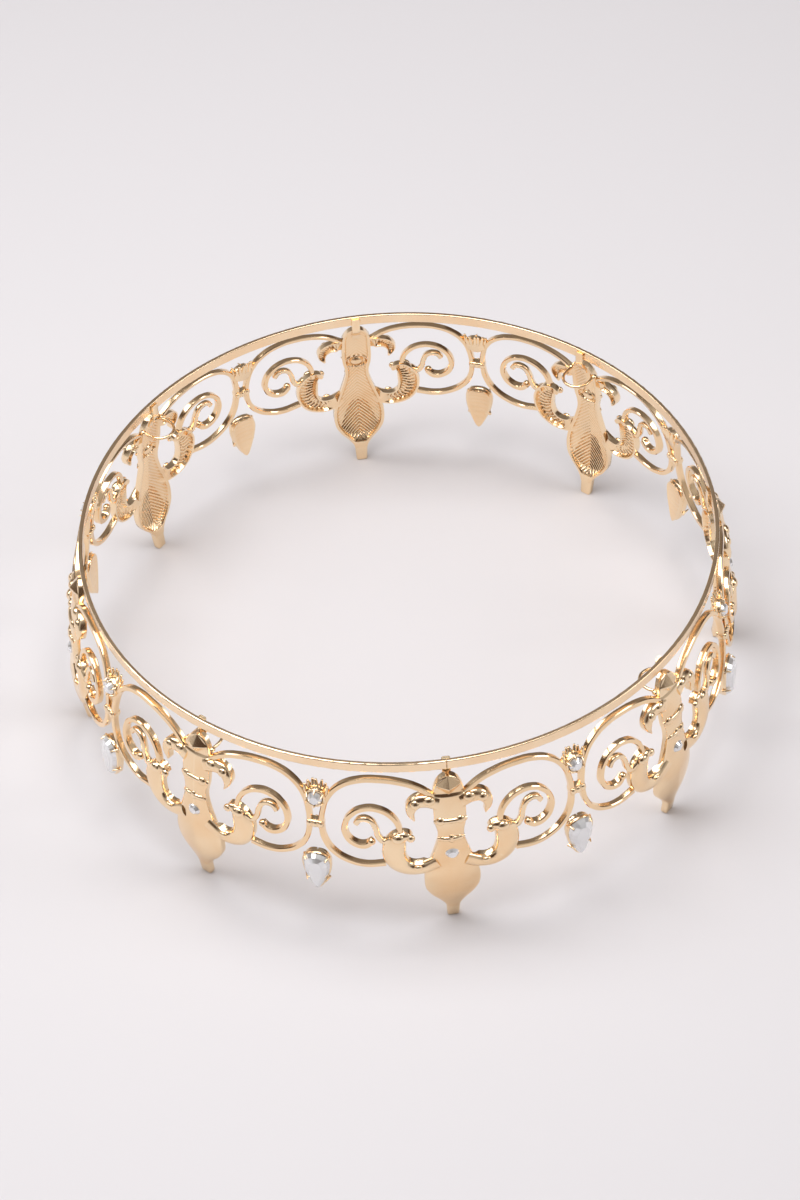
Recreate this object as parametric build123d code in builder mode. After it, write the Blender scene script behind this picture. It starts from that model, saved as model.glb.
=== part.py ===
from build123d import *
import math
import os

# Openwork display ring: a flat band on eight cast fleurs that are joined by scrollwork.
# Millimetres, +Z up, origin on the floor at the centre of the ring, one fleur on -Y.
# A place on the wall is given as (s, z): s is the arc length at the band's radius,
# counted from the middle of a fleur, and z is the height above the floor.

# ---- driving dimensions ----
module_count = 8
pitch = 360 / module_count

band_radius = 90.0
band_thickness = 1.2
band_bottom = 56.8
ring_height = 60.0
band_seam = 0.25
band_edge = 0.3

foot_radius = 91.7
belly_radius = 93.9
belly_height = 21.5
neck_radius = 89.6
neck_height = 57.0

casting_thickness = 2.4
strand_thickness = 1.8
strand_width = 1.5
foot_width = 3.9
foot_top = 6.5
petal_pocket_depth = 0.9
petal_rim = 1.3
tab_width = 2.6
tab_thickness = 0.9
tab_bridge = 1.6
tab_bridge_height = 1.8
tab_foot = 52.6
tab_drop = 0.6
collar_radius = 0.9
collar_heights = (40.6, 34.0)
collar_half_widths = (3.9, 3.0)

stone_seat = 1.0
stone_crown = 0.55
waist_stone_radius = 1.9
waist_stone_height = 28.6
junction_stone_radius = 2.1
junction_stone_height = 47.5
cup_radius = 2.9
cup_depth = 2.6
prong_radius = 0.5
prong_count = 6
crown_prong_side = 4.6
crown_prong_base = 1.6
crown_prong_spread = 1.9
tie_height = 38.4
tie_width = 4.8
tie_tall = 2.4
tie_depth = 2.8
tie_edge = 0.5

pear_side = [(0.0, 27.4), (2.6, 26.6), (3.8, 23.8), (3.4, 20.0), (1.9, 15.8), (0.0, 12.9)]
pear_wall = 0.5
pear_back = -1.1
pear_front = 1.3
pear_floor = 0.2
pear_stone_face = 3.2
pear_stone_bevel = 1.2
pear_claw_radius = 0.55
pear_claw_height = 17.6
pear_claw_spread = 2.9

loop_height = 50.6
loop_radius = 3.95
loop_leg = 3.2
loop_wire = 0.9
loop_count = 4
loop_bite = 1.0

draw_inset = 8.0
draw_depth = 16.0
shell_margin = 2.0

half_pitch_arc = band_radius * math.radians(pitch / 2)
scroll_middle = half_pitch_arc / 2

os.makedirs("parts", exist_ok=True)


def save(part, name):
    part.label = name
    export_step(part, f"parts/{name}.step")


# ---- the flared wall that every casting follows ----
def wall_radius(z):
    """Radius of the middle of the wall at height z: one circular arc from foot to neck."""
    points = (foot_radius, 0.0), (belly_radius, belly_height), (neck_radius, neck_height)
    (r1, z1), (r2, z2), (r3, z3) = points
    d = 2 * (r1 * (z2 - z3) + r2 * (z3 - z1) + r3 * (z1 - z2))
    q1, q2, q3 = r1 * r1 + z1 * z1, r2 * r2 + z2 * z2, r3 * r3 + z3 * z3
    centre_r = (q1 * (z2 - z3) + q2 * (z3 - z1) + q3 * (z1 - z2)) / d
    centre_z = (q1 * (r3 - r2) + q2 * (r1 - r3) + q3 * (r2 - r1)) / d
    radius = math.hypot(r1 - centre_r, z1 - centre_z)
    return centre_r + math.sqrt(radius * radius - (z - centre_z) ** 2)


def wall_shell(inner, outer):
    """A shell of revolution between two offsets from the middle of the wall."""
    top = ring_height + shell_margin
    heights = (-shell_margin, top / 2, top)
    with BuildPart() as shell:
        with BuildSketch(Plane.XZ):
            with BuildLine():
                face_in = ThreePointArc(*[(wall_radius(z) + inner, z) for z in heights])
                face_out = ThreePointArc(*[(wall_radius(z) + outer, z) for z in heights])
                Line(face_in @ 0, face_out @ 0)
                Line(face_in @ 1, face_out @ 1)
            make_face()
        revolve(axis=Axis.Z)
    return shell.part


def wall_plane(s, distance=0.0):
    """Upright plane facing outwards at arc length s from the front fleur."""
    angle = s / band_radius - math.pi / 2
    outward = Vector(math.cos(angle), math.sin(angle), 0)
    return Plane(origin=outward * distance, x_dir=(-math.sin(angle), math.cos(angle), 0), z_dir=outward)


def flat(s, z, middle):
    """Where the wall point (s, z) lies on the upright plane at arc length middle."""
    return wall_radius(z) * math.sin((s - middle) / band_radius), z


def draw_strand(points, widths, middle, round_end=False):
    """A ribbon of changing width along the wall points, drawn in the current sketch."""
    centres = [Vector(*flat(s, z, middle)) for s, z in points]
    with BuildLine() as outline:
        path = Spline(*centres, mode=Mode.PRIVATE)
        steps = [i / (len(widths) - 1) for i in range(len(widths))]
        sides = [(path % u).rotate(Axis.Z, 90) for u in steps]
        left = Spline(*[path @ u + side * w / 2 for u, side, w in zip(steps, sides, widths)])
        right = Spline(*[path @ u - side * w / 2 for u, side, w in zip(steps, sides, widths)])
        Line(left @ 0, right @ 0)
        Line(left @ 1, right @ 1)
    make_face(outline.edges())
    if round_end:
        with Locations(centres[-1]):
            Circle(widths[-1] / 2)


casting_shell = wall_shell(-casting_thickness / 2, casting_thickness / 2)
strand_shell = wall_shell(-strand_thickness / 2, strand_thickness / 2)
pocket_shell = wall_shell(-casting_thickness, -casting_thickness / 2 + petal_pocket_depth)

# ---- band: one flat strip bent to a ring, its ends meeting at the front ----
with BuildPart() as closed_ring:
    with BuildSketch(Plane.XZ):
        with Locations((band_radius - band_thickness / 2, (band_bottom + ring_height) / 2)):
            RectangleRounded(band_thickness, ring_height - band_bottom, band_edge)
    revolve(axis=Axis.Z)
with BuildPart() as band:
    add(closed_ring.part)
    with Locations((0, -band_radius, ring_height)):
        Box(band_seam, 4 * band_thickness, 4 * (ring_height - band_bottom), mode=Mode.SUBTRACT)
save(band.part, "band")

# ---- fleur: body, side volutes, side leaves, petal, foot and tab in one casting ----
body_side = [(0.0, 55.4), (2.4, 54.0), (3.9, 51.4), (4.2, 48.0), (4.2, 43.5), (4.2, 40.5),
             (3.6, 37.0), (3.4, 34.0), (4.3, 30.0), (6.0, 25.5)]
petal_side = [(6.0, 25.5), (7.3, 20.0), (7.4, 15.6), (6.1, 11.2), (3.8, 8.4), (2.0, 5.6)]
volute_path = [(3.0, 46.6), (6.0, 47.2), (8.8, 46.8), (10.0, 44.6), (9.1, 41.2)]
volute_widths = [4.4, 3.8, 3.4, 2.4, 0.6]
leaf_path = [(3.8, 24.6), (8.4, 22.9), (12.8, 23.8), (14.9, 28.4), (14.2, 33.6), (10.6, 34.8)]
leaf_widths = [4.6, 4.4, 5.0, 6.0, 5.6, 3.2, 1.2]
hook_path = [(15.4, 31.6), (18.2, 33.2), (19.6, 36.4), (20.8, 39.6), (23.0, 40.9), (24.6, 39.2)]
hook_widths = [2.6, 1.7, 1.5, 1.6, 1.6, 1.5]


def draw_half_outline(points):
    """A smooth side and its mirror image, closed across the middle."""
    spots = [flat(s, z, 0) for s, z in points]
    with BuildLine() as outline:
        Spline(*spots)
        Spline(*[(-x, z) for x, z in spots])
        for x, z in (spots[0], spots[-1]):
            if x > 0:
                Line((-x, z), (x, z))
    make_face(outline.edges())


def outline_blank(draw):
    """The drawing inside the given function, cut out of the wall's thickness."""
    with BuildPart() as blank:
        with BuildSketch(wall_plane(0, band_radius - draw_inset)):
            draw()
        extrude(amount=draw_depth)
    return blank.part


def draw_fleur():
    draw_half_outline(body_side)
    draw_half_outline(petal_side)
    for side in (1, -1):
        draw_strand([(side * s, z) for s, z in volute_path], volute_widths, 0)
        draw_strand([(side * s, z) for s, z in leaf_path], leaf_widths, 0)
        draw_strand([(side * s, z) for s, z in hook_path], hook_widths, 0, round_end=True)
    with Locations((0, foot_top / 2)):
        Rectangle(foot_width, foot_top)


def draw_petal_pocket():
    draw_half_outline([(max(s - petal_rim, 0.3), z + petal_rim / 2) for s, z in petal_side])


strap_inner = band_radius - band_thickness - tab_thickness
with BuildPart() as fleur:
    add(outline_blank(draw_fleur))
    add(casting_shell, mode=Mode.INTERSECT)
    pocket = outline_blank(draw_petal_pocket) & pocket_shell
    add(pocket, mode=Mode.SUBTRACT)
    for height, half_width in zip(collar_heights, collar_half_widths):
        front = wall_radius(height) + casting_thickness / 2
        with BuildSketch(Plane.YZ.offset(-half_width)):
            with Locations((-front, height)):
                Circle(collar_radius)
        extrude(amount=2 * half_width)
    with Locations((0, -strap_inner, tab_foot)):
        Box(tab_width, tab_thickness, ring_height - tab_drop - tab_foot,
            align=(Align.CENTER, Align.MAX, Align.MIN))
        Box(tab_width, tab_thickness + tab_bridge, tab_bridge_height,
            align=(Align.CENTER, Align.MAX, Align.MIN))
    waist_front = wall_radius(waist_stone_height) + casting_thickness / 2
    with BuildSketch(wall_plane(0, waist_front - stone_seat)):
        with Locations((0, waist_stone_height)):
            Circle(waist_stone_radius)
    extrude(amount=casting_thickness, mode=Mode.SUBTRACT)
    add(closed_ring.part, mode=Mode.SUBTRACT)

print("fleur solids", len(fleur.solids()), "volume", round(fleur.part.volume, 1))
for k in range(module_count):
    save(fleur.part.rotate(Axis.Z, k * pitch), f"fleur_{k + 1}")

# ---- scrollwork: a C-shaped frame strand and a spiral scroll on each side of a fleur ----
frame_path = [(4.4, 49.6), (8.2, 52.3), (13.0, 54.3), (18.5, 55.1), (24.0, 54.7), (28.6, 52.4),
              (31.8, 48.4), (33.4, 43.0), (33.7, 37.5), (32.9, 32.5), (30.6, 28.4), (27.0, 25.6),
              (22.5, 24.2), (17.6, 24.6)]
scroll_path = [(13.2, 35.6), (13.5, 39.0), (15.4, 42.6), (18.6, 44.8), (22.4, 45.0), (25.8, 42.8),
               (27.5, 39.2), (27.3, 35.4), (25.2, 32.6), (22.4, 32.0), (20.2, 33.4)]


def scroll_blank(draw, side):
    """A strand drawn on the plane that faces the middle of the scrollwork."""
    with BuildPart() as blank:
        with BuildSketch(wall_plane(side * scroll_middle, band_radius - draw_inset)):
            draw()
        extrude(amount=draw_depth)
        add(strand_shell, mode=Mode.INTERSECT)
    return blank.part


scrollwork = {}
for side, side_name in ((-1, "left"), (1, "right")):
    middle = side * scroll_middle

    def draw_frame():
        widths = [strand_width] * len(frame_path)
        draw_strand([(side * s, z) for s, z in frame_path], widths, middle)

    def draw_scroll():
        widths = [strand_width] * len(scroll_path)
        draw_strand([(side * s, z) for s, z in scroll_path], widths, middle, round_end=True)

    with BuildPart() as frame:
        add(scroll_blank(draw_frame, side))
        add(fleur.part, mode=Mode.SUBTRACT)
        add(closed_ring.part, mode=Mode.SUBTRACT)
    scrollwork[f"frame_{side_name}"] = frame.part
    with BuildPart() as scroll:
        add(scroll_blank(draw_scroll, side))
        add(fleur.part, mode=Mode.SUBTRACT)
    scrollwork[f"scroll_{side_name}"] = scroll.part

for name, piece in scrollwork.items():
    print(name, "solids", len(piece.solids()), "volume", round(piece.volume, 1))
    for k in range(module_count):
        save(piece.rotate(Axis.Z, k * pitch), f"{name}_{k + 1}")

# ---- junctions, halfway between fleurs: claw cup, tie and pear setting between two frames ----
neighbours = [scrollwork["frame_right"], scrollwork["frame_left"].rotate(Axis.Z, pitch)]


def junction_plane(distance):
    return wall_plane(half_pitch_arc, distance)


def cut_neighbours():
    for neighbour in neighbours:
        add(neighbour, mode=Mode.SUBTRACT)


cup_middle = wall_radius(junction_stone_height)
cup_front = cup_middle + cup_depth / 2
with BuildPart() as claw_cup:
    with BuildSketch(junction_plane(cup_middle - cup_depth / 2)):
        with Locations((0, junction_stone_height)):
            Circle(cup_radius)
        for x in (-crown_prong_spread, 0, crown_prong_spread):
            with Locations((x, junction_stone_height + cup_radius)):
                Triangle(c=crown_prong_base, a=crown_prong_side, b=crown_prong_side)
    extrude(amount=cup_depth / 2)
    with BuildSketch(junction_plane(cup_middle)):
        with Locations((0, junction_stone_height)):
            Circle(cup_radius)
    extrude(amount=cup_depth / 2)
    with BuildSketch(junction_plane(cup_front - stone_seat)):
        with Locations((0, junction_stone_height)):
            Circle(junction_stone_radius)
    extrude(amount=2 * stone_seat, mode=Mode.SUBTRACT)
    with BuildSketch(junction_plane(cup_front - stone_seat)):
        with Locations((0, junction_stone_height)):
            with PolarLocations(cup_radius - prong_radius / 3, prong_count, start_angle=30):
                Circle(prong_radius)
    extrude(amount=2 * stone_seat)
    with BuildSketch(junction_plane(cup_front - stone_seat)):
        with Locations((0, junction_stone_height)):
            Circle(junction_stone_radius)
    extrude(amount=3 * stone_seat, mode=Mode.SUBTRACT)
    cut_neighbours()

with BuildPart() as tie_bead:
    with BuildSketch(junction_plane(wall_radius(tie_height) - tie_depth / 2)):
        with Locations((0, tie_height)):
            RectangleRounded(tie_width, tie_tall, tie_edge)
    extrude(amount=tie_depth)
    cut_neighbours()


def draw_pear(inset):
    """The drop outline, drawn smaller by about inset all round."""
    half_width = max(x for x, z in pear_side)
    half_tall = (pear_side[0][1] - pear_side[-1][1]) / 2
    centre = pear_side[-1][1] + half_tall
    narrow = (half_width - inset) / half_width
    short = (half_tall - inset * 1.2) / half_tall
    spots = [(x * narrow, centre + (z - centre) * short) for x, z in pear_side]
    with BuildLine() as outline:
        Spline(*spots)
        Spline(*[(-x, z) for x, z in spots])
    make_face(outline.edges())


pear_middle = wall_radius(20)
with BuildPart() as pear_setting:
    with BuildSketch(junction_plane(pear_middle + pear_back)):
        draw_pear(0)
    extrude(amount=pear_front - pear_back)
    with BuildSketch(junction_plane(pear_middle + pear_floor)):
        draw_pear(pear_wall)
    extrude(amount=pear_front, mode=Mode.SUBTRACT)
    with BuildSketch(junction_plane(pear_middle)):
        with Locations((-pear_claw_spread, pear_claw_height), (pear_claw_spread, pear_claw_height)):
            Circle(pear_claw_radius)
    extrude(amount=pear_front + pear_claw_radius)
    with BuildSketch(junction_plane(pear_middle + pear_floor)):
        draw_pear(pear_wall)
    extrude(amount=2 * pear_front, mode=Mode.SUBTRACT)
    cut_neighbours()

# ---- stones: shallow faceted cones in the round seats, bevelled drops in the pear seats ----
with BuildPart() as pear_crystal:
    with BuildSketch(junction_plane(pear_middle + pear_floor)):
        draw_pear(pear_wall)
    extrude(amount=pear_front - pear_floor)
    with BuildSketch(junction_plane(pear_middle + pear_front)):
        draw_pear(pear_wall)
    with BuildSketch(junction_plane(pear_middle + pear_stone_face)):
        draw_pear(pear_wall + pear_stone_bevel)
    loft()


def round_stone(plane_at, seat, height, radius):
    """A round stone: straight girdle in its seat and a bevelled crown above it."""
    crown = radius * stone_crown
    with BuildPart() as stone:
        with BuildSketch(plane_at(seat)):
            with Locations((0, height)):
                Circle(radius)
        extrude(amount=stone_seat)
        with BuildSketch(plane_at(seat + stone_seat)):
            with Locations((0, height)):
                Circle(radius)
        with BuildSketch(plane_at(seat + stone_seat + crown)):
            with Locations((0, height)):
                Circle(radius * stone_crown)
        loft()
    return stone.part


junction_crystal = round_stone(junction_plane, cup_front - stone_seat, junction_stone_height,
                               junction_stone_radius)
waist_crystal = round_stone(lambda distance: wall_plane(0, distance), waist_front - stone_seat,
                            waist_stone_height, waist_stone_radius)

# ---- ribbon loops: bent wire on the inside of every second fleur ----
loop_wall = wall_radius(loop_height) - casting_thickness / 2
with BuildPart() as ribbon_loop:
    with BuildLine() as loop_line:
        leg_end = loop_wall + loop_bite
        bend = loop_wall - loop_leg
        left_leg = Line((-loop_radius, -leg_end, loop_height), (-loop_radius, -bend, loop_height))
        curve = ThreePointArc(left_leg @ 1, (0, -bend + loop_radius, loop_height),
                              (loop_radius, -bend, loop_height))
        Line(curve @ 1, (loop_radius, -leg_end, loop_height))
    with BuildSketch(Plane(origin=loop_line.wire() @ 0, z_dir=loop_line.wire() % 0)):
        Circle(loop_wire / 2)
    sweep(path=loop_line.wire())
    add(fleur.part, mode=Mode.SUBTRACT)

for k in range(module_count):
    save(pear_setting.part.rotate(Axis.Z, k * pitch), f"pear_setting_{k + 1}")


def save_group(piece, name, count, start=0.0):
    """Equal pieces spaced round the ring, written as one node of separate solids."""
    with BuildPart() as group:
        for k in range(count):
            add(piece.rotate(Axis.Z, start + k * 360 / count))
    print(name, "solids", len(group.solids()), "volume", round(group.part.volume, 1))
    save(group.part, name)


save_group(claw_cup.part, "claw_cups", module_count)
save_group(tie_bead.part, "tie_beads", module_count)
save_group(junction_crystal, "junction_crystals", module_count)
save_group(waist_crystal, "waist_crystals", module_count)
save_group(pear_crystal.part, "pear_crystals", module_count)
save_group(ribbon_loop.part, "ribbon_loops", loop_count, start=pitch)
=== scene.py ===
import math
import random

import bpy
import numpy as np
from mathutils import Matrix, Vector


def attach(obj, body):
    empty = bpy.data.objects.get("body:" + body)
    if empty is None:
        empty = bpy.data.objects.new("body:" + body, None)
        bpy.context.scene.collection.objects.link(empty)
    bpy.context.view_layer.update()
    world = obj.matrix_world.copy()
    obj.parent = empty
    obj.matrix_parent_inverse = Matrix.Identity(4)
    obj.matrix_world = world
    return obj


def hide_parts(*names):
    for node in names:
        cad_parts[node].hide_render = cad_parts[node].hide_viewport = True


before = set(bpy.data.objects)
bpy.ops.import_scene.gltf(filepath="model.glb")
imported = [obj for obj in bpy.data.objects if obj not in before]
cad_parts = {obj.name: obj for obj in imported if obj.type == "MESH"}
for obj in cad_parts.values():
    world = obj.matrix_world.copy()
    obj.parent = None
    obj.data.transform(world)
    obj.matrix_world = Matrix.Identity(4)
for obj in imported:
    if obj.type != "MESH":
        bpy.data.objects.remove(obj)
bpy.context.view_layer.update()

# The castings are modelled flat on the bench in millimetres, x along the band, y up from the table and
# z outwards, then bent round the ring. Everything that is handed over is in metres.

print("frame loaded:", len(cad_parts), "nodes")

ring = {"modules": 8, "bandRadius": 90.0, "wallMarks": ((91.7, 0.0), (93.9, 21.5), (89.6, 57.0))}
pitch = 2 * math.pi / ring["modules"]


# ---------- bench helpers ----------
def deselectAll():
    if bpy.context.object and bpy.context.object.mode != "OBJECT":
        bpy.ops.object.mode_set(mode="OBJECT")
    bpy.ops.object.select_all(action="DESELECT")


def makeActive(piece):
    deselectAll()
    piece.select_set(True)
    bpy.context.view_layer.objects.active = piece


def applyAll(piece):
    makeActive(piece)
    for modifier in list(piece.modifiers):
        bpy.ops.object.modifier_apply(modifier=modifier.name)


def joinAll(parts, name):
    makeActive(parts[0])
    for part in parts:
        part.select_set(True)
    bpy.ops.object.join()
    piece = bpy.context.object
    piece.name = name
    return piece


def readCorners(piece):
    flat = np.empty(len(piece.data.vertices) * 3)
    piece.data.vertices.foreach_get("co", flat)
    return flat.reshape(-1, 3)


def writeCorners(piece, corners):
    piece.data.vertices.foreach_set("co", np.asarray(corners, dtype=float).ravel())
    piece.data.update()


def smoothShade(piece, angle=40):
    makeActive(piece)
    bpy.ops.object.shade_smooth_by_angle(angle=math.radians(angle))


def fixNormals(piece):
    makeActive(piece)
    bpy.ops.object.mode_set(mode="EDIT")
    bpy.ops.mesh.select_all(action="SELECT")
    bpy.ops.mesh.normals_make_consistent(inside=False)
    bpy.ops.object.mode_set(mode="OBJECT")


def subdivideSmooth(piece, levels=1):
    modifier = piece.modifiers.new("round", "SUBSURF")
    modifier.levels = modifier.render_levels = levels
    applyAll(piece)


# ---------- the flared wall ----------
def wallCircle():
    (r1, z1), (r2, z2), (r3, z3) = ring["wallMarks"]
    d = 2 * (r1 * (z2 - z3) + r2 * (z3 - z1) + r3 * (z1 - z2))
    q1, q2, q3 = r1 * r1 + z1 * z1, r2 * r2 + z2 * z2, r3 * r3 + z3 * z3
    centreR = (q1 * (z2 - z3) + q2 * (z3 - z1) + q3 * (z1 - z2)) / d
    centreZ = (q1 * (r3 - r2) + q2 * (r1 - r3) + q3 * (r2 - r1)) / d
    return centreR, centreZ, math.hypot(r1 - centreR, z1 - centreZ)


def wallRadius(height):
    centreR, centreZ, radius = wallCircle()
    return centreR + np.sqrt(radius * radius - (height - centreZ) ** 2)


def bendRound(piece, turn):
    # flat bench millimetres to metres on the ring, turn counted from the front fleur
    corners = readCorners(piece)
    angle = corners[:, 0] / ring["bandRadius"] - math.pi / 2 + turn
    radius = wallRadius(corners[:, 1]) + corners[:, 2]
    bent = np.stack([radius * np.cos(angle), radius * np.sin(angle), corners[:, 1]], axis=1)
    writeCorners(piece, bent / 1000)


def copyOf(master, name):
    piece = master.copy()
    piece.data = master.data.copy()
    piece.name = name
    piece.data.name = name
    bpy.context.collection.objects.link(piece)
    return piece


def putRound(master, name, node, material, turns, oneNode=False):
    # bends a copy of the flat master to each place and hands it over in place of its CAD node
    made = []
    for k, turn in turns:
        piece = copyOf(master, f"{name}_{k + 1}")
        bendRound(piece, turn)
        made.append(piece)
    if oneNode:
        made = [joinAll(made, name)]
    for piece, (k, turn) in zip(made, turns):
        finishPiece(piece, node if oneNode else f"{node}_{k + 1}", material)
    bpy.data.objects.remove(master)
    return made


def finishPiece(piece, node, material):
    piece.data.materials.clear()
    piece.data.materials.append(material)
    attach(piece, "root")
    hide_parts(node)


def everyModule(offset=0.0):
    return [(k, k * pitch + offset) for k in range(ring["modules"])]


# ---------- shapes used all over ----------
def alongPath(points, t):
    # a smooth line through the given points, and its direction, at t from 0 to 1
    spots = np.array(points, dtype=float)
    padded = np.vstack([2 * spots[0] - spots[1], spots, 2 * spots[-1] - spots[-2]])
    place = np.clip(t, 0, 1) * (len(spots) - 1)
    first = np.minimum(place.astype(int), len(spots) - 2)
    u = (place - first)[:, None]
    a, b, c, d = (padded[first + i] for i in range(4))
    square, cube = 2 * a - 5 * b + 4 * c - d, 3 * b - a - 3 * c + d
    spot = 0.5 * (2 * b + (c - a) * u + square * u ** 2 + cube * u ** 3)
    way = 0.5 * ((c - a) + 2 * square * u + 3 * cube * u ** 2)
    return spot, way / np.linalg.norm(way, axis=1)[:, None]


def smoothValue(values, t):
    line = np.array([(v, 0.0) for v in values], dtype=float)
    return alongPath(line, t)[0][:, 0]


def softStep(low, high, x):
    u = np.clip((x - low) / (high - low), 0, 1)
    return u * u * (3 - 2 * u)


def reliefPlate(name, columns, rows, place, front, back):
    # a grid extruded to a closed plate: place(u, t) lays it out, front and back give each face its relief
    deselectAll()
    bpy.ops.mesh.primitive_grid_add(x_subdivisions=columns, y_subdivisions=rows, size=2)
    plate = bpy.context.object
    plate.name = name
    bpy.ops.object.mode_set(mode="EDIT")
    bpy.ops.mesh.select_all(action="SELECT")
    bpy.ops.mesh.extrude_region_move(TRANSFORM_OT_translate={"value": (0, 0, -1)})
    bpy.ops.mesh.select_all(action="SELECT")
    bpy.ops.mesh.normals_make_consistent(inside=False)
    bpy.ops.object.mode_set(mode="OBJECT")
    grid = readCorners(plate)
    u, t = grid[:, 0], (grid[:, 1] + 1) / 2
    s, h = place(u, t)
    depth = np.where(grid[:, 2] > -0.5, front(u, t), back(u, t))
    writeCorners(plate, np.stack([s, h, depth], axis=1))
    fixNormals(plate)
    return plate


def alongStrip(points, widths):
    def place(u, t):
        spot, way = alongPath(points, t)
        width = smoothValue(widths, t)
        return spot[:, 0] + way[:, 1] * u * width / 2, spot[:, 1] - way[:, 0] * u * width / 2
    return place


def roundedBar(name, points, sizes, squareness=1.25, smoothness=6, thickness=None):
    # a bar swept along the given points, its section between a circle and a square
    deselectAll()
    bpy.ops.curve.primitive_bezier_circle_add(radius=1)
    section = bpy.context.object
    section.data.resolution_u = 3
    for point in section.data.splines[0].bezier_points:
        point.handle_left_type = point.handle_right_type = "FREE"
        point.handle_left = point.co + (point.handle_left - point.co) * squareness
        point.handle_right = point.co + (point.handle_right - point.co) * squareness
    deselectAll()
    bpy.ops.curve.primitive_bezier_curve_add()
    line = bpy.context.object
    spline = line.data.splines[0]
    spline.bezier_points.add(len(points) - 2)
    for point, spot, size in zip(spline.bezier_points, points, sizes):
        point.co = (*spot, 0) if len(spot) == 2 else spot
        point.handle_left_type = point.handle_right_type = "AUTO"
        point.radius = size / 2
    line.data.twist_mode = "Z_UP"
    line.data.resolution_u = smoothness
    line.data.bevel_mode = "OBJECT"
    line.data.bevel_object = section
    line.data.use_fill_caps = True
    bpy.ops.object.convert(target="MESH")
    bar = bpy.context.object
    bar.name = name
    bpy.data.objects.remove(section)
    if thickness:
        corners = readCorners(bar)
        corners[:, 2] *= thickness
        writeCorners(bar, corners)
    fixNormals(bar)
    return bar


def softBall(name, spot, radius, stretch=(1, 1, 1), rings=10):
    deselectAll()
    bpy.ops.mesh.primitive_uv_sphere_add(segments=2 * rings, ring_count=rings, radius=radius, location=spot)
    ball = bpy.context.object
    ball.name = name
    ball.scale = stretch
    bpy.ops.object.transform_apply(location=True, rotation=True, scale=True)
    return ball


def mirrored(piece, name):
    twin = copyOf(piece, name)
    corners = readCorners(twin)
    corners[:, 0] *= -1
    writeCorners(twin, corners)
    makeActive(twin)
    bpy.ops.object.mode_set(mode="EDIT")
    bpy.ops.mesh.select_all(action="SELECT")
    bpy.ops.mesh.flip_normals()
    bpy.ops.object.mode_set(mode="OBJECT")
    return twin


# ---------- camera, lights and floor ----------
camera = {"distance": 1.2244, "azimuth": -6.29, "elevation": 45.76, "roll": -2.72, "lens": 128.6,
          "target": (-0.0005, 0.0, 0.0305)}


def placeCamera():
    a, e = math.radians(camera["azimuth"]), math.radians(camera["elevation"])
    back = Vector((math.sin(a) * math.cos(e), -math.cos(a) * math.cos(e), math.sin(e)))
    data = bpy.data.cameras.new("camera")
    data.lens = camera["lens"]
    data.sensor_width = 36
    eye = bpy.data.objects.new("camera", data)
    eye.location = Vector(camera["target"]) + back * camera["distance"]
    turn = (-back).to_track_quat("-Z", "Y").to_matrix().to_4x4()
    eye.rotation_euler = (turn @ Matrix.Rotation(math.radians(camera["roll"]), 4, "Z")).to_euler()
    bpy.context.collection.objects.link(eye)
    bpy.context.scene.camera = eye


studio = {"floorColour": (0.69, 0.67, 0.69), "skyColour": (0.98, 0.95, 0.94), "skyStrength": 0.46,
          "backdrop": (1.62, 1.58, 1.61), "darkColour": (0.11, 0.055, 0.03),
          "darkSides": (((0.10, 0.74, 0.66), 0.45, 0.95, 0.62), ((-0.10, -0.94, 0.32), 0.74, 0.95, 0.92),
                        ((0.80, 0.50, 0.25), 0.80, 0.97, 0.9), ((-0.90, 0.10, 0.42), 0.85, 0.98, 0.9))}
softLights = (
    ("keyLight", (-0.12, 0.02, 0.85), 0.70, 7.0),
    ("rightLight", (0.95, -0.25, 0.70), 0.45, 2.2),
    ("leftLight", (-1.00, 0.30, 0.85), 0.55, 3.0))


def setStudio():
    deselectAll()
    bpy.ops.mesh.primitive_plane_add(size=2.6)
    floor = bpy.context.object
    floor.name = "floor"
    floor.data.materials.append(plainMaterial("floorPaper", studio["floorColour"], 0.75))
    for name, place, size, power in softLights:
        data = bpy.data.lights.new(name, "AREA")
        data.shape = "SQUARE"
        data.size = size
        data.energy = power
        lamp = bpy.data.objects.new(name, data)
        lamp.location = place
        lamp.rotation_euler = (Vector((0, 0, 0.03)) - Vector(place)).to_track_quat("-Z", "Y").to_euler()
        bpy.context.collection.objects.link(lamp)
    setSky()


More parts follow.
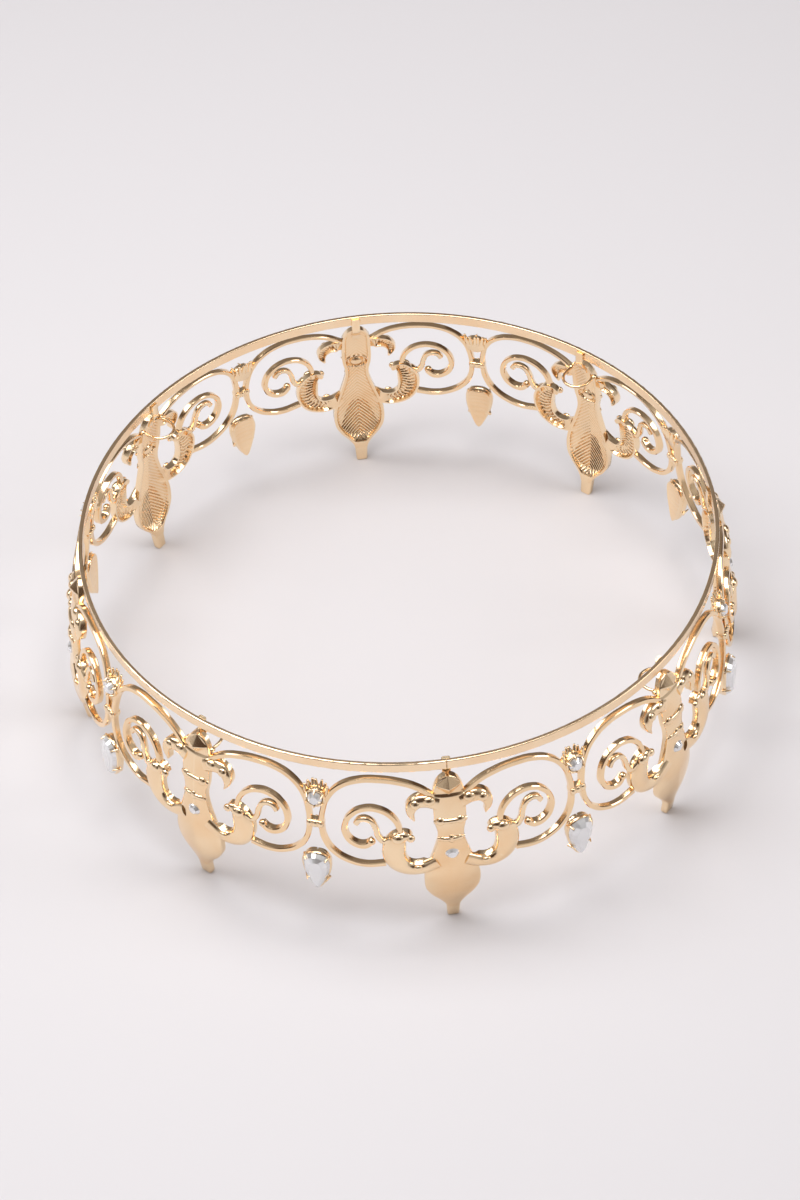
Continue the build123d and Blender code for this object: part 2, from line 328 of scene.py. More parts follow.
def setSky():
    # a white room whose dark far sides only the plating sees, and an even backdrop behind the floor
    world = bpy.data.worlds.new("studio")
    bpy.context.scene.world = world
    world.use_nodes = True
    tree = world.node_tree
    link = tree.links.new
    where = tree.nodes.new("ShaderNodeTexCoord")
    darkness = None
    for direction, start, end, depth in studio["darkSides"]:
        towards = nodeOf(tree, "ShaderNodeVectorMath", operation="DOT_PRODUCT")
        towards.inputs[1].default_value = Vector(direction).normalized()
        edge = nodeOf(tree, "ShaderNodeMapRange", interpolation_type="SMOOTHSTEP")
        edge.inputs["From Min"].default_value = start
        edge.inputs["From Max"].default_value = end
        edge.inputs["To Max"].default_value = depth
        link(where.outputs["Generated"], towards.inputs[0])
        link(towards.outputs["Value"], edge.inputs["Value"])
        if darkness is None:
            darkness = edge.outputs["Result"]
        else:
            either = nodeOf(tree, "ShaderNodeMath", operation="MAXIMUM")
            link(darkness, either.inputs[0])
            link(edge.outputs["Result"], either.inputs[1])
            darkness = either.outputs["Value"]
    room = tree.nodes.new("ShaderNodeMixRGB")
    room.inputs["Color1"].default_value = (*studio["skyColour"], 1)
    room.inputs["Color2"].default_value = (*studio["darkColour"], 1)
    backdrop = tree.nodes.new("ShaderNodeMixRGB")
    backdrop.inputs["Color2"].default_value = (*studio["backdrop"], 1)
    rays = tree.nodes.new("ShaderNodeLightPath")
    link(darkness, room.inputs["Fac"])
    link(rays.outputs["Is Camera Ray"], backdrop.inputs["Fac"])
    link(room.outputs["Color"], backdrop.inputs["Color1"])
    sky = tree.nodes["Background"]
    link(backdrop.outputs["Color"], sky.inputs["Color"])
    sky.inputs["Strength"].default_value = studio["skyStrength"]
    bpy.context.scene.view_settings.view_transform = "Standard"


# ---------- materials ----------
def plainMaterial(name, colour, roughness):
    material = bpy.data.materials.new(name)
    material.use_nodes = True
    shader = material.node_tree.nodes["Principled BSDF"]
    shader.inputs["Base Color"].default_value = (*colour, 1)
    shader.inputs["Roughness"].default_value = roughness
    return material


def nodeOf(tree, kind, **settings):
    node = tree.nodes.new(kind)
    for key, value in settings.items():
        if key in node.inputs:
            node.inputs[key].default_value = value
        else:
            setattr(node, key, value)
    return node


def platedGold(name, pale, deep, smoothest, roughest, grain, ripple):
    # bright plating: paler on sharp edges as a painted highlight and deeper in hollows as painted shade, with
    # a random drift in tone, satin patches and a fine cast or rolled texture
    material = bpy.data.materials.new(name)
    material.use_nodes = True
    tree = material.node_tree
    shader = tree.nodes["Principled BSDF"]
    shader.inputs["Metallic"].default_value = 1.0
    where = nodeOf(tree, "ShaderNodeTexCoord")
    drift = nodeOf(tree, "ShaderNodeTexNoise", Scale=90.0, Detail=3.0)
    shape = nodeOf(tree, "ShaderNodeNewGeometry")
    edges = nodeOf(tree, "ShaderNodeMapRange")
    edges.inputs["From Min"].default_value = 0.44
    edges.inputs["From Max"].default_value = 0.54
    # painted light: pointiness puts a painted highlight on sharp edges and painted shade in hollows, added to
    # a random drift in tone
    paintedLightAndDrift = nodeOf(tree, "ShaderNodeMath", operation="MULTIPLY_ADD")
    paintedLightAndDrift.inputs[1].default_value = 0.5
    # ramp from the deeper painted-shade colour of hollows to the paler painted-highlight colour of edges
    tone = nodeOf(tree, "ShaderNodeValToRGB")
    tone.color_ramp.elements[0].position = 0.25
    tone.color_ramp.elements[1].position = 0.95
    tone.color_ramp.elements[0].color = (*deep, 1)
    tone.color_ramp.elements[1].color = (*pale, 1)
    patches = nodeOf(tree, "ShaderNodeTexNoise", Scale=420.0, Detail=4.0)
    satin = nodeOf(tree, "ShaderNodeMapRange")
    satin.inputs["To Min"].default_value = smoothest
    satin.inputs["To Max"].default_value = roughest
    fine = nodeOf(tree, "ShaderNodeTexNoise", Scale=grain, Detail=2.0)
    bump = nodeOf(tree, "ShaderNodeBump", Strength=ripple, Distance=0.0002)
    link = tree.links.new
    for node in (drift, patches, fine):
        link(where.outputs["Object"], node.inputs["Vector"])
    link(shape.outputs["Pointiness"], edges.inputs["Value"])
    link(edges.outputs["Result"], paintedLightAndDrift.inputs[0])
    link(drift.outputs["Fac"], paintedLightAndDrift.inputs[2])
    link(paintedLightAndDrift.outputs["Value"], tone.inputs["Fac"])
    link(tone.outputs["Color"], shader.inputs["Base Color"])
    link(patches.outputs["Fac"], satin.inputs["Value"])
    link(satin.outputs["Result"], shader.inputs["Roughness"])
    link(fine.outputs["Fac"], bump.inputs["Height"])
    link(bump.outputs["Normal"], shader.inputs["Normal"])
    return material


def clearCrystal(name):
    # cut glass over a bright foil, with a faint cloud in its clearness and polish
    material = bpy.data.materials.new(name)
    material.use_nodes = True
    tree = material.node_tree
    shader = tree.nodes["Principled BSDF"]
    shader.inputs["Metallic"].default_value = 0.55
    shader.inputs["Transmission Weight"].default_value = 0.15
    shader.inputs["IOR"].default_value = 1.65
    shader.inputs["Specular IOR Level"].default_value = 0.9
    shader.inputs["Coat Weight"].default_value = 0.6
    shader.inputs["Coat Roughness"].default_value = 0.02
    where = nodeOf(tree, "ShaderNodeTexCoord")
    cloud = nodeOf(tree, "ShaderNodeTexNoise", Scale=300.0, Detail=2.0)
    tint = nodeOf(tree, "ShaderNodeValToRGB")
    tint.color_ramp.elements[0].color = (0.93, 0.94, 0.96, 1)
    tint.color_ramp.elements[1].color = (1.0, 1.0, 1.0, 1)
    polish = nodeOf(tree, "ShaderNodeMapRange")
    polish.inputs["To Min"].default_value = 0.02
    polish.inputs["To Max"].default_value = 0.08
    link = tree.links.new
    link(where.outputs["Object"], cloud.inputs["Vector"])
    link(cloud.outputs["Fac"], tint.inputs["Fac"])
    link(tint.outputs["Color"], shader.inputs["Base Color"])
    link(cloud.outputs["Fac"], polish.inputs["Value"])
    link(polish.outputs["Result"], shader.inputs["Roughness"])
    return material


placeCamera()
setStudio()
# in each gold the first colour is the paler tone of edges, a painted highlight, and the second the deeper
# tone of hollows, painted shade
castGold = platedGold("castGold", (0.99, 0.77, 0.51), (0.88, 0.54, 0.27), 0.11, 0.24, 1800.0, 0.12)
bandGold = platedGold("bandGold", (0.99, 0.77, 0.52), (0.92, 0.61, 0.35), 0.16, 0.26, 900.0, 0.05)
scrollGold = platedGold("scrollGold", (0.97, 0.72, 0.45), (0.85, 0.53, 0.26), 0.10, 0.20, 1500.0, 0.08)
wireGold = platedGold("wireGold", (0.97, 0.73, 0.46), (0.87, 0.56, 0.29), 0.10, 0.18, 1500.0, 0.05)
crystal = clearCrystal("clearCrystal")
print("camera, lights and materials ready")


# ---------- fleur ----------
fleur = {
    "side": [(1.7, 4.4), (2.3, 6.2), (3.8, 8.4), (5.6, 10.6), (7.0, 13.4), (7.4, 16.6), (7.2, 19.6),
             (6.4, 23.0), (5.3, 26.5), (4.3, 30.0), (3.5, 33.5), (3.5, 36.5), (4.1, 39.5), (4.3, 43.0),
             (4.2, 46.5), (4.2, 49.2), (3.8, 51.6), (2.4, 54.0), (0.5, 55.2)],
    "columns": 92, "rows": 300,
    "stemFace": 0.5, "stemCrown": 0.85, "petalRidge": 0.60, "petalCrown": 0.28,
    "cap": (52.3, 3.5, 2.9), "capRise": 1.75, "neckHeight": 49.6, "neckCut": 0.25,
    "backFace": -1.15, "rimWidth": 1.15, "hollowDepth": 0.55, "hollowCrown": 0.30,
    "petalTop": 23.0, "petalArch": 0.36, "archStep": 0.22, "petalDeeper": 0.25, "petalBowl": 0.55,
    "ribPitch": 1.3, "ribDepth": 0.44, "ribSlant": 1.1, "plainRibs": 0.55,
    "dimple": 39.3, "dimpleHalf": (3.2, 2.2), "dimpleDepth": 0.45,
    "knotHalf": (2.0, 1.75), "knotRise": 1.35, "dimpleLip": 0.25}


def fleurOutline(u, t):
    return u * smoothValue([x for x, h in fleur["side"]], t), smoothValue([h for x, h in fleur["side"]], t)


def fleurFront(u, t):
    # a softly ridged petal, a round stem and a four-sided cap on the top lobe
    s, h = fleurOutline(u, t)
    petal = (1 - softStep(19.0, 28.0, h)) * softStep(5.0, 13.0, h)
    capHeight, capWide, capTall = fleur["cap"]
    cap = np.clip(1 - np.abs(s) / capWide - np.abs(h - capHeight) / capTall, 0, 1)
    neck = np.exp(-((h - fleur["neckHeight"]) / 0.5) ** 2)
    lobe = 1 - 0.35 * softStep(48.5, 50.5, h)
    stem = fleur["stemFace"] + fleur["stemCrown"] * np.sqrt(np.clip(1 - u * u, 0, 1)) * lobe
    ridge = petal * (fleur["petalRidge"] * (1 - np.abs(u)) + fleur["petalCrown"] * (1 - u * u))
    return stem + ridge + fleur["capRise"] * cap - fleur["neckCut"] * neck


def fleurBack(u, t):
    # a ribbed hollow with a flat rim, deeper inside the petal's arch, and an oval knot in the stem
    s, h = fleurOutline(u, t)
    half = smoothValue([x for x, y in fleur["side"]], t)
    edge = (1 - np.abs(u)) * half
    ends = softStep(6.4, 9.4, h) * (1 - softStep(52.6, 54.0, h))
    hollow = softStep(fleur["rimWidth"] * 0.6, fleur["rimWidth"] * 1.2, edge) * ends
    arch = 1 - softStep(-0.8, 0.6, h - (fleur["petalTop"] - fleur["petalArch"] * s * s))
    petal = 1 - softStep(20.0, 28.0, h)
    chevron = np.abs(np.sin(math.pi * (h + np.abs(s) * fleur["ribSlant"]) / fleur["ribPitch"]))
    wide, tall = fleur["dimpleHalf"]
    away = np.sqrt((s / wide) ** 2 + ((h - fleur["dimple"]) / tall) ** 2)
    pit = 1 - softStep(0.72, 1.0, away)
    knotWide, knotTall = fleur["knotHalf"]
    knot = np.sqrt(np.clip(1 - (s / knotWide) ** 2 - ((h - fleur["dimple"]) / knotTall) ** 2, 0, 1))
    lip = np.exp(-((away - 1.08) / 0.13) ** 2)
    bowl = fleur["hollowDepth"] + fleur["hollowCrown"] * (1 - u * u) + fleur["archStep"] * arch
    bowl += petal * (fleur["petalDeeper"] + fleur["petalBowl"] * (1 - u * u))
    reach = fleur["plainRibs"] + (1 - fleur["plainRibs"]) * arch
    ribs = fleur["ribDepth"] * reach * chevron * (1 - softStep(0.85, 1.2, 2 - away) * pit)
    depth = hollow * (bowl - ribs * (1 - pit)) + fleur["dimpleDepth"] * pit
    return fleur["backFace"] + depth - fleur["knotRise"] * knot - fleur["dimpleLip"] * lip * hollow


def makeBody():
    return reliefPlate("body", fleur["columns"], fleur["rows"], fleurOutline, fleurFront, fleurBack)


curl = {
    "volutePath": [(3.0, 46.6), (5.6, 47.4), (8.2, 47.3), (9.9, 45.7), (10.2, 43.5), (9.4, 41.2)],
    "voluteWidths": [4.8, 4.1, 3.8, 3.3, 2.1, 0.5],
    "leafPath": [(3.6, 25.0), (7.2, 23.1), (10.8, 22.9), (13.6, 24.7), (14.9, 28.0), (14.8, 31.6),
                 (13.5, 34.6), (11.6, 35.6), (10.2, 34.7)],
    "leafWidths": [4.4, 4.2, 4.6, 5.4, 6.1, 6.1, 4.6, 2.5, 0.9],
    "hookPath": [(15.6, 34.4), (17.5, 33.6), (18.9, 35.4), (19.5, 38.2), (21.0, 41.0), (23.4, 41.3),
                 (24.7, 39.6)],
    "hookSizes": [2.2, 1.6, 1.5, 1.5, 1.5, 1.55, 1.5]}


def makeVolute():
    def front(u, t):
        return 0.35 + 1.25 * np.sqrt(np.clip(1 - u * u, 0, 1)) * (1 - 0.5 * softStep(0.7, 1.0, t))

    def back(u, t):
        inRim = 1 - softStep(0.50, 0.76, np.abs(u))
        hollow = inRim * softStep(0.12, 0.3, t) * (1 - softStep(0.84, 0.95, t))
        ribs = 0.28 * np.abs(np.sin(math.pi * (t * 13 + u * 0.5)))
        root = 1.3 * (1 - softStep(0.05, 0.22, t))
        return -1.15 + hollow * (1.15 - ribs) + root
    return reliefPlate("volute", 16, 80, alongStrip(curl["volutePath"], curl["voluteWidths"]), front, back)


def makeLeaf():
    def front(u, t):
        return 0.3 + 1.5 * np.sqrt(np.clip(1 - u * u, 0, 1)) * (1 - 0.45 * softStep(0.75, 1.0, t))

    def back(u, t):
        inRim = 1 - softStep(0.60, 0.80, np.abs(u))
        hollow = inRim * softStep(0.12, 0.26, t) * (1 - softStep(0.80, 0.90, t))
        ribs = 0.38 * np.abs(np.sin(math.pi * (t * 24 - np.abs(u) * 1.0)))
        root = 1.3 * (1 - softStep(0.03, 0.11, t))
        return -1.2 + hollow * (1.25 + 0.35 * (1 - u * u) - ribs) + root
    return reliefPlate("leaf", 20, 150, alongStrip(curl["leafPath"], curl["leafWidths"]), front, back)


collars = {"heights": (40.6, 34.2), "halfWidths": (4.1, 3.2), "size": 1.5,
           "beads": (((-2.6, 1.35, 1.0), (2.6, 1.35, 1.0), (0.0, 0.85, 1.0)),
                     ((0.0, 1.0, 1.5), (-2.3, 0.85, 1.0), (2.3, 0.85, 1.0)))}


def makeCollars():
    parts = []
    for height, halfWidth, beads in zip(collars["heights"], collars["halfWidths"], collars["beads"]):
        arch = [(-halfWidth, height - 0.4, 0.3), (-halfWidth * 0.6, height, 1.0), (0, height + 0.1, 1.25),
                (halfWidth * 0.6, height, 1.0), (halfWidth, height - 0.4, 0.3)]
        parts.append(roundedBar("collar", arch, [collars["size"]] * 5, squareness=1.2))
        for x, size, tall in beads:
            parts.append(softBall("bead", (x, height, 1.3 - 0.05 * x * x), size, (1.0, tall, 0.7)))
    return parts


foot = {"bottomWidth": 3.2, "topWidth": 3.9, "height": 7.2, "thickness": 2.2}
tab = {"bandThickness": 1.2, "width": 2.5, "thickness": 0.85, "bottom": 50.6, "top": 59.5}
solder = {"seed": 11, "blobs": 5}


def makeFoot():
    deselectAll()
    bpy.ops.mesh.primitive_cube_add(size=1, location=(0, 0.5, 0))
    stub = bpy.context.object
    bpy.ops.object.transform_apply(location=True)
    corners = readCorners(stub)
    corners[:, 0] *= np.where(corners[:, 1] > 0.5, foot["topWidth"], foot["bottomWidth"])
    corners[:, 1] *= foot["height"]
    corners[:, 2] *= foot["thickness"]
    writeCorners(stub, corners)
    edge = stub.modifiers.new("edge", "BEVEL")
    edge.width, edge.segments = 0.55, 4
    applyAll(stub)
    return stub


def makeTab():
    # the strap from the top lobe up the inside of the band, with the solder it is fixed by
    inside = ring["bandRadius"] - tab["bandThickness"]
    marks = [(0, tab["bottom"]), (0, 52.6), (0, 54.8), (0, 57.0), (0, tab["top"])]
    depths = [-0.7, -0.95, inside - wallRadius(54.8) - 0.4, inside - wallRadius(57.0) - 0.45,
              inside - wallRadius(tab["top"]) - 0.45]
    line = [(x, y, d) for (x, y), d in zip(marks, depths)]
    strap = roundedBar("tab", line, [tab["width"]] * 5, squareness=1.6)
    corners = readCorners(strap)
    middle = np.interp(corners[:, 1], [y for x, y in marks], depths)
    corners[:, 2] = middle + (corners[:, 2] - middle) * tab["thickness"] / tab["width"]
    writeCorners(strap, corners)
    parts = [strap]
    dice = random.Random(solder["seed"])
    for i in range(solder["blobs"]):
        spot = (dice.uniform(-1.0, 1.0), dice.uniform(57.4, 59.0), depths[-1] - 0.15)
        parts.append(softBall("blob", spot, dice.uniform(0.45, 0.75), (1.0, 0.9, 0.6), rings=8))
    return parts


def makeFleurs():
    parts = [makeBody()]
    volute, leaf = makeVolute(), makeLeaf()
    hook = roundedBar("hook", curl["hookPath"], curl["hookSizes"], squareness=1.6, thickness=1.2)
    balls = [softBall("voluteBall", (5.3, 48.0, 1.15), 1.5, (1.1, 0.9, 0.7)),
             softBall("voluteEnd", (8.9, 47.0, 1.05), 1.4, (1, 1, 0.75)),
             softBall("leafBall", (13.7, 35.2, 1.1), 1.7, (1.05, 0.9, 0.7)),
             softBall("leafBead", (10.5, 34.9, 0.75), 1.15, (1, 1, 0.8)),
             softBall("notchBall", (8.9, 24.0, 1.5), 1.05, (1.1, 0.85, 0.6))]
    halfSet = [volute, leaf, hook, *balls]
    parts += halfSet + [mirrored(part, part.name + "Left") for part in halfSet]
    parts += makeCollars() + [makeFoot()] + makeTab()
    master = joinAll(parts, "fleurMaster")
    smoothShade(master, 50)
    putRound(master, "fleurCasting", "fleur", castGold, everyModule())


makeFleurs()
print("fleurs cast")


# ---------- scrollwork ----------
strands = {
    "framePath": [(4.3, 48.9), (8.2, 51.9), (13.0, 53.8), (18.5, 54.6), (24.0, 54.2), (28.6, 52.1),
                  (31.8, 48.3), (33.4, 43.0), (33.7, 37.5), (32.9, 32.5), (30.6, 28.4), (27.0, 25.6),
                  (22.5, 24.3), (17.2, 25.0)],
    "frameSize": 1.5,
    "scrollPath": [(13.0, 34.8), (13.5, 39.0), (15.4, 42.6), (18.6, 44.8), (22.4, 45.0), (25.8, 42.8),
                   (27.5, 39.2), (27.3, 35.4), (25.2, 32.6), (22.4, 32.0), (20.4, 33.6)],
    "scrollSizes": [1.4, 1.45, 1.5, 1.5, 1.5, 1.5, 1.55, 1.65, 1.8, 1.9, 1.6],
    "squareness": 1.8, "thickness": 1.25}


def makeStrands():
    points = strands["framePath"]
    shape = {"squareness": strands["squareness"], "thickness": strands["thickness"]}
    frameBar = roundedBar("frameMaster", points, [strands["frameSize"]] * len(points), **shape)
    scrollBar = roundedBar("scrollMaster", strands["scrollPath"], strands["scrollSizes"], **shape)
    endBall = softBall("scrollEnd", (20.7, 33.5, 0.35), 1.1)
    scrollBar = joinAll([scrollBar, endBall], "scrollMaster")
    for bar, word in ((frameBar, "frame"), (scrollBar, "scroll")):
        smoothShade(bar, 24)
        left = mirrored(bar, word + "MasterLeft")
        putRound(bar, word + "StrandRight", word + "_right", scrollGold, everyModule())
        putRound(left, word + "StrandLeft", word + "_left", scrollGold, everyModule())


makeStrands()
print("scrollwork bent")


# ---------- junctions ----------
cup = {"height": 47.5, "radius": 2.9, "seatRadius": 2.1, "front": 1.3, "back": -1.2,
       "prongs": 6, "prongRadius": 0.42,
       "spikes": 7, "spikeSeed": 5}


def coneAt(name, spot, radius, length, direction, sides=8):
    deselectAll()
    bpy.ops.mesh.primitive_cone_add(vertices=sides, radius1=radius, radius2=radius * 0.35, depth=length)
    cone = bpy.context.object
    cone.name = name
    turn = Vector((0, 0, 1)).rotation_difference(Vector(direction)).to_matrix().to_4x4()
    middle = Vector(spot) + Vector(direction).normalized() * length / 2
    cone.data.transform(Matrix.Translation(middle) @ turn)
    edge = cone.modifiers.new("edge", "BEVEL")
    edge.width, edge.segments = radius * 0.25, 2
    applyAll(cone)
    return cone


def makeCup():
    deselectAll()
    deep = cup["front"] - cup["back"]
    bpy.ops.mesh.primitive_cylinder_add(vertices=32, radius=cup["radius"], depth=deep,
                                        location=(0, cup["height"], (cup["front"] + cup["back"]) / 2))
    shell = bpy.context.object
    bpy.ops.object.transform_apply(location=True)
    bpy.ops.object.mode_set(mode="EDIT")
    bpy.ops.mesh.select_mode(type="FACE")
    bpy.ops.mesh.select_all(action="DESELECT")
    bpy.ops.object.mode_set(mode="OBJECT")
    for face in shell.data.polygons:
        face.select = face.normal.z > 0.9
    bpy.ops.object.mode_set(mode="EDIT")
    bpy.ops.mesh.inset(thickness=cup["radius"] - cup["seatRadius"] - 0.1)
    bpy.ops.mesh.extrude_region_move(TRANSFORM_OT_translate={"value": (0, 0, -0.9)})
    bpy.ops.object.mode_set(mode="OBJECT")
    edge = shell.modifiers.new("edge", "BEVEL")
    edge.width, edge.segments, edge.limit_method = 0.22, 3, "ANGLE"
    applyAll(shell)
    parts = [shell]
    for i in range(cup["prongs"]):
        a = math.radians(30 + 360 / cup["prongs"] * i)
        reach = cup["radius"] - 0.25
        spot = (reach * math.cos(a), cup["height"] + reach * math.sin(a), cup["front"] - 0.5)
        lean = (-0.32 * math.cos(a), -0.32 * math.sin(a), 1.0)
        parts.append(coneAt("prong", spot, cup["prongRadius"], 1.7, lean))
    return parts


def makeSpikes():
    # rough cast prongs that stand up behind the cup, like a small crown
    dice = random.Random(cup["spikeSeed"])
    parts = []
    for i in range(cup["spikes"]):
        x = -3.2 + 6.4 * i / (cup["spikes"] - 1)
        tall = 2.3 + 1.1 * (1 - (x / 3.4) ** 2) + dice.uniform(-0.5, 0.4)
        spot = (x * 0.9, cup["height"] + 0.9, -0.5 + dice.uniform(-0.4, 0.6))
        lean = (x * 0.06 + dice.uniform(-0.16, 0.16), 1, dice.uniform(-0.15, 0.15))
        parts.append(coneAt("spike", spot, dice.uniform(0.85, 1.1), tall, lean, sides=7))
    return parts


tie = {"height": 38.4, "width": 4.8, "tall": 2.3, "deep": 2.7}


def makeTie():
    deselectAll()
    bpy.ops.mesh.primitive_cube_add(size=1, location=(0, tie["height"], 0))
    block = bpy.context.object
    block.scale = (tie["width"], tie["tall"], tie["deep"])
    bpy.ops.object.transform_apply(location=True, scale=True)
    edge = block.modifiers.new("edge", "BEVEL")
    edge.width, edge.segments = 0.7, 4
    applyAll(block)
    parts = [block]
    for x in (-1.5, 0.0, 1.5):
        for side in (-1, 1):
            spot = (x, tie["height"] + 0.1, side * 1.15)
            parts.append(softBall("tieBead", spot, 0.85, (0.9, 1.25, 0.6), rings=8))
    return parts


drop = {"side": [(0.0, 27.4), (1.4, 27.25), (2.7, 26.5), (3.6, 25.0), (3.8, 23.2), (3.55, 21.0), (2.95, 18.6),
                 (1.9, 15.8), (0.9, 13.7), (0.0, 12.9)],
        "centre": 20.6, "halfWidth": 3.8, "halfHeight": 7.25}


def dropOutline(count, inset=0.0):
    # points all round the drop, clockwise from the top
    half, _ = alongPath(drop["side"], np.linspace(0, 1, count // 2 + 1))
    shrinkX = 1 - inset / drop["halfWidth"]
    shrinkY = 1 - 1.15 * inset / drop["halfHeight"]
    half = np.stack([half[:, 0] * shrinkX, drop["centre"] + (half[:, 1] - drop["centre"]) * shrinkY], axis=1)
    other = half[1:-1][::-1] * np.array([-1, 1])
    return np.vstack([half, other])


def dropPlace(u, t):
    spot, _ = alongPath(drop["side"], 1 - t)
    return u * np.maximum(spot[:, 0], 0.12), spot[:, 1]


def makeDropSetting():
    def front(u, t):
        return np.full_like(u, 0.15)

    def back(u, t):
        hollow = (1 - softStep(0.62, 0.86, np.abs(u))) * softStep(0.12, 0.3, t)
        ribs = 0.16 * np.abs(np.sin(math.pi * (t * 12 + 0.25 * u * u)))
        arch = softStep(0.78, 0.86, t) * (1 - softStep(0.5, 0.8, np.abs(u)))
        return -1.1 + hollow * (0.35 - ribs) + 0.35 * arch
    plate = reliefPlate("dropPlate", 14, 70, dropPlace, front, back)
    subdivideSmooth(plate)
    rim = [(*spot, 0.55) for spot in dropOutline(28, 0.12)]
    rimBar = roundedBar("dropRim", rim + rim[:1], [0.62] * (len(rim) + 1), smoothness=2, squareness=1.15)
    corners = readCorners(rimBar)
    corners[:, 2] = 0.55 + (corners[:, 2] - 0.55) * 2.4
    writeCorners(rimBar, corners)
    parts = [plate, rimBar]
    for side in (-1, 1):
        parts.append(coneAt("claw", (side * 3.05, 17.4, 0.2), 0.55, 2.6, (-side * 0.28, 0.05, 1.0)))
        parts.append(coneAt("upperClaw", (side * 3.3, 25.8, 0.2), 0.5, 2.4, (-side * 0.3, -0.1, 1.0)))
    return parts


def makeJunctions():
    offset = pitch / 2
    for parts, name, node, oneNode in (
            (makeCup() + makeSpikes(), "clawCups", "claw_cups", True),
            (makeTie(), "tieBeads", "tie_beads", True),
            (makeDropSetting(), "dropSetting", "pear_setting", False)):
        master = joinAll(parts, name + "Master")
        smoothShade(master, 40)
        putRound(master, name, node, castGold, everyModule(offset), oneNode)


makeJunctions()
print("junctions set")


# ---------- stones ----------
roundCut = {"sides": 16, "girdle": 0.9, "bevel": 0.82, "crown": 0.95, "table": 0.56}
waistStone = {"height": 28.6, "radius": 1.9, "seat": 0.3}


def makeRoundStone(name, height, radius, seat):
    # a straight girdle, a crown in two slopes and a flat table
    deselectAll()
    bpy.ops.mesh.primitive_cylinder_add(vertices=roundCut["sides"], radius=radius, depth=roundCut["girdle"],
                                        location=(0, height, seat + roundCut["girdle"] / 2))
    stone = bpy.context.object
    stone.name = name
    bpy.ops.object.transform_apply(location=True)
    bevel = (roundCut["bevel"], roundCut["crown"] * 0.45)
    table = (roundCut["table"] / roundCut["bevel"], roundCut["crown"] * 0.55)
    for scale, rise in (bevel, table):
        bpy.ops.object.mode_set(mode="OBJECT")
        top = max(v.co.z for v in stone.data.vertices)
        for face in stone.data.polygons:
            face.select = all(stone.data.vertices[i].co.z > top - 1e-3 for i in face.vertices)
        bpy.ops.object.mode_set(mode="EDIT")
        bpy.ops.mesh.select_mode(type="FACE")
        bpy.ops.mesh.extrude_region_move(TRANSFORM_OT_translate={"value": (0, 0, rise)})
        bpy.ops.transform.resize(value=(scale, scale, 1), center_override=(0, height, 0))
        bpy.ops.object.mode_set(mode="OBJECT")
    return stone


dropCut = {"sides": 20, "steps": ((0.30, 0.2), (0.22, 1.25), (0.85, 2.35), (2.05, 3.05))}


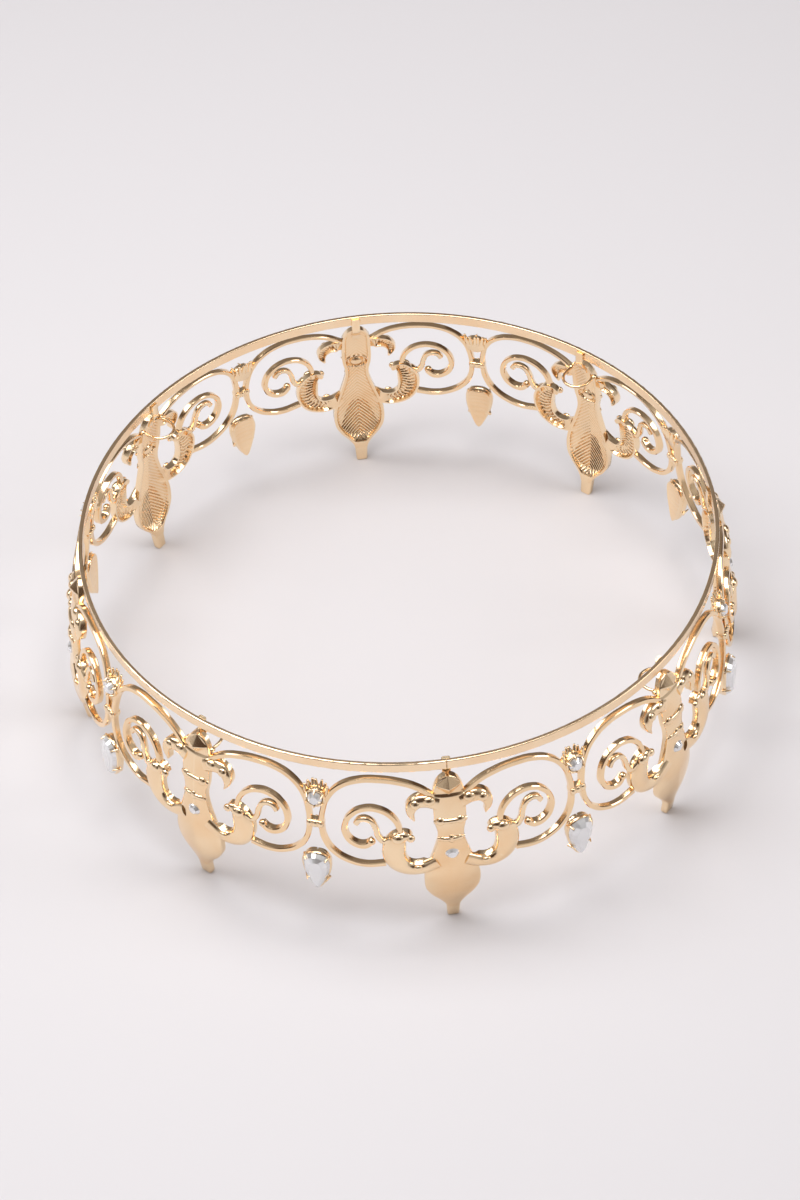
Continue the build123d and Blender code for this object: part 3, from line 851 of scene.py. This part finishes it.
def makeDropStone():
    # the drop outline stepped up in rings and flat at the table
    deselectAll()
    bpy.ops.mesh.primitive_circle_add(vertices=dropCut["sides"], radius=1, fill_type="NGON")
    stone = bpy.context.object
    stone.name = "dropStoneMaster"
    for step in range(len(dropCut["steps"]) - 1):
        bpy.ops.object.mode_set(mode="OBJECT")
        top = max(v.co.z for v in stone.data.vertices)
        for face in stone.data.polygons:
            face.select = all(stone.data.vertices[i].co.z > top - 1e-3 for i in face.vertices)
        bpy.ops.object.mode_set(mode="EDIT")
        bpy.ops.mesh.select_mode(type="FACE")
        bpy.ops.mesh.extrude_region_move(TRANSFORM_OT_translate={"value": (0, 0, 1)})
    bpy.ops.object.mode_set(mode="OBJECT")
    corners = readCorners(stone)
    level = np.rint(corners[:, 2]).astype(int)
    turn = np.rint(np.arctan2(corners[:, 0], corners[:, 1]) / (2 * math.pi) * dropCut["sides"]).astype(int)
    for i, (inset, depth) in enumerate(dropCut["steps"]):
        outline = dropOutline(dropCut["sides"], inset)
        ringOf = level == i
        corners[ringOf, :2] = outline[turn[ringOf] % dropCut["sides"]]
        corners[ringOf, 2] = depth
    writeCorners(stone, corners)
    makeActive(stone)
    bpy.ops.object.mode_set(mode="EDIT")
    bpy.ops.mesh.select_all(action="SELECT")
    bpy.ops.mesh.normals_make_consistent(inside=False)
    bpy.ops.mesh.quads_convert_to_tris()
    bpy.ops.object.mode_set(mode="OBJECT")
    return stone


def makeStones():
    offset = pitch / 2
    putRound(makeRoundStone("cupStoneMaster", cup["height"], cup["seatRadius"] - 0.05, cup["front"] - 0.8),
             "junctionCrystals", "junction_crystals", crystal, everyModule(offset), True)
    putRound(makeRoundStone("waistStoneMaster", **waistStone),
             "waistCrystals", "waist_crystals", crystal, everyModule(), True)
    putRound(makeDropStone(), "dropCrystals", "pear_crystals", crystal, everyModule(offset), True)


makeStones()
print("stones cut")


# ---------- ribbon loops ----------
loop = {"height": 50.6, "radius": 3.95, "leg": 3.2, "wire": 0.9, "everySecond": 2}


def makeLoops():
    wall = float(wallRadius(loop["height"])) - 1.0
    bend = wall - loop["leg"]
    r = loop["radius"]
    points = [(-r + 1.3, -(wall + 0.5)), (-r + 0.3, -(wall - 0.9)), (-r, -bend)]
    points += [(-r * math.cos(a), -bend + r * math.sin(a)) for a in np.radians((30, 60, 90, 120, 150))]
    points += [(r, -bend), (r - 0.1, -(wall - 0.9)), (r - 0.4, -(wall + 0.5))]
    wire = roundedBar("loopMaster", points, [loop["wire"]] * len(points), squareness=1.0, smoothness=5)
    blobs = []
    for side in (-1, 1):
        spot = (side * (r + 0.1), -(wall - 0.1), 0.1)
        blobs.append(softBall("loopBlob", spot, 0.85, (1, 1.1, 0.85)))
    master = joinAll([wire, *blobs], "loopMaster")
    smoothShade(master, 60)
    made = []
    for k in range(1, ring["modules"], loop["everySecond"]):
        piece = copyOf(master, f"ribbonLoop_{k + 1}")
        piece.data.transform(Matrix.Rotation(k * pitch, 4, "Z") @ Matrix.Translation((0, 0, loop["height"])))
        piece.data.transform(Matrix.Scale(0.001, 4))
        made.append(piece)
    bpy.data.objects.remove(master)
    finishPiece(joinAll(made, "ribbonLoops"), "ribbon_loops", wireGold)


makeLoops()
print("loops bent")


# ---------- band ----------
def dressBand():
    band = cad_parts["band"]
    band.data.materials.clear()
    band.data.materials.append(bandGold)


dressBand()
print("band plated")
